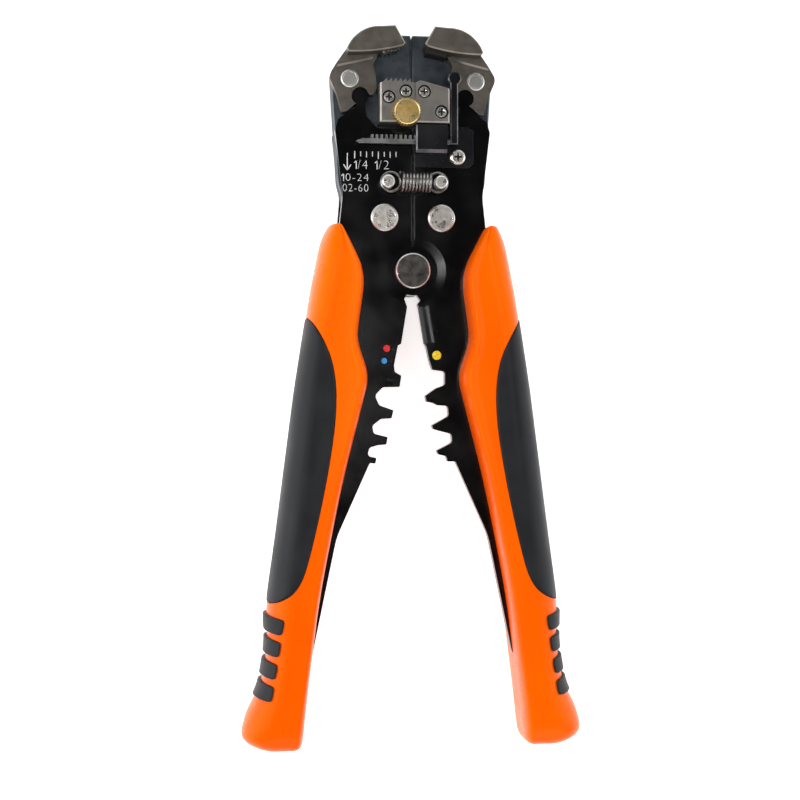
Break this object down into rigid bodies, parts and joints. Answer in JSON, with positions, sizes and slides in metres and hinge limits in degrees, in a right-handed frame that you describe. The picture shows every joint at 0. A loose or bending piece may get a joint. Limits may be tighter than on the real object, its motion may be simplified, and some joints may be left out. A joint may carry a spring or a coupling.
{
  "type": "wire stripper",
  "caption": "Self-adjusting wire stripper on its back: sprung plier levers with cutter and crimp dies, closing upper jaws on a split head, sliding length stop, soft-pad grips.",
  "frame": {"origin": "on the main pivot rivet's axis, at the rivet's rear face, on which the tool lies", "axes": "+Y from the pivot towards the jaws, +Z out of the tool's front face, +X to the right seen from the front"},
  "size_m": [0.0976, 0.2034, 0.022],
  "materials": {
    "frame_steel": "satin blue-grey steel",
    "lever_black": "gloss black paint",
    "jaw_steel": "dark gunmetal, satin",
    "block_steel": "machined, satin",
    "pivot_steel": "hammered face, bright rim",
    "rivet_steel": "peened nickel",
    "screw_steel": "bright zinc",
    "blade_steel": "ground",
    "spring_steel": "bright wire",
    "knob_brass": "turned, scuffed",
    "stop_black": "gloss black",
    "grip_orange": "satin moulded",
    "grip_rubber": "satin"
  },
  "bodies": {
    "left_frame": {"left_frame": "frame_steel", "main_rivet": "pivot_steel", "left_jaw_rivet": "rivet_steel", "left_lower_jaw": "block_steel", "left_block_screws": "screw_steel", "return_spring": "spring_steel"},
    "right_frame": {"right_frame": "frame_steel", "right_jaw_rivet": "rivet_steel", "right_lower_jaw": "block_steel", "right_block_screws": "screw_steel", "lower_stripping_blade": "blade_steel"},
    "left_lever": {"left_lever_front_plate": "lever_black", "left_lever_rear_plate": "lever_black", "left_lever_rivet": "rivet_steel", "left_tang_rivet": "rivet_steel", "left_spring_post": "rivet_steel", "left_grip": "grip_orange", "left_grip_pad": "grip_rubber", "left_grip_ridges": "grip_rubber"},
    "right_lever": {"right_lever_front_plate": "lever_black", "right_lever_rear_plate": "lever_black", "right_lever_rivet": "rivet_steel", "right_tang_rivet": "rivet_steel", "right_spring_post": "rivet_steel", "right_grip": "grip_orange", "right_grip_pad": "grip_rubber", "right_grip_ridges": "grip_rubber", "stop_guide": "stop_black", "stop_guide_screw": "screw_steel", "stop_detent_spring": "spring_steel"},
    "left_jaw": {"left_upper_jaw": "jaw_steel", "grip_insert": "jaw_steel"},
    "right_jaw": {"right_upper_jaw": "jaw_steel", "upper_stripping_blade": "blade_steel"},
    "length_stop": {"length_stop": "stop_black"},
    "adjusting_screw": {"adjusting_screw": "knob_brass"}
  },
  "joints": [
    {"name": "head_spread", "type": "hinge", "parent": "left_frame", "child": "right_frame", "pos_m": [0, 0, 0.0065], "axis": [0, 0, -1], "range_deg": [0, 12], "stiffness_Nm_per_rad": 1.5, "springref_deg": -17.19, "deforming": ["return_spring"]},
    {"name": "left_lever_swing", "type": "hinge", "parent": "left_frame", "child": "left_lever", "pos_m": [0, 0, 0.011], "axis": [0, 0, 1], "range_deg": [0, 3.08], "stiffness_Nm_per_rad": 2, "springref_deg": -14.32},
    {"name": "right_lever_swing", "type": "hinge", "parent": "right_frame", "child": "right_lever", "pos_m": [0, 0, 0.011], "axis": [0, 0, -1], "range_deg": [0, 3.09]},
    {"name": "left_jaw_close", "type": "hinge", "parent": "left_frame", "child": "left_jaw", "pos_m": [-0.018, 0.05405, 0.011], "axis": [0, 0, -1], "range_deg": [0, 28.1]},
    {"name": "right_jaw_close", "type": "hinge", "parent": "right_frame", "child": "right_jaw", "pos_m": [0.018, 0.05405, 0.011], "axis": [0, 0, 1], "range_deg": [0, 28.1]},
    {"name": "stop_slide", "type": "slide", "parent": "right_lever", "child": "length_stop", "axis": [1, 0, 0], "range_m": [0, 0.011]},
    {"name": "adjuster_turn", "type": "hinge", "parent": "left_frame", "child": "adjusting_screw", "pos_m": [-0.0026, 0.04375, 0.018], "axis": [0, 0, 1], "range_deg": [-180, 180]}
  ],
  "couplings": [
    {"joint": "right_lever_swing", "follows": "left_lever_swing", "ratio": 1},
    {"joint": "left_jaw_close", "follows": "left_lever_swing", "ratio": 9.0909},
    {"joint": "right_jaw_close", "follows": "left_lever_swing", "ratio": 9.0909}
  ]
}
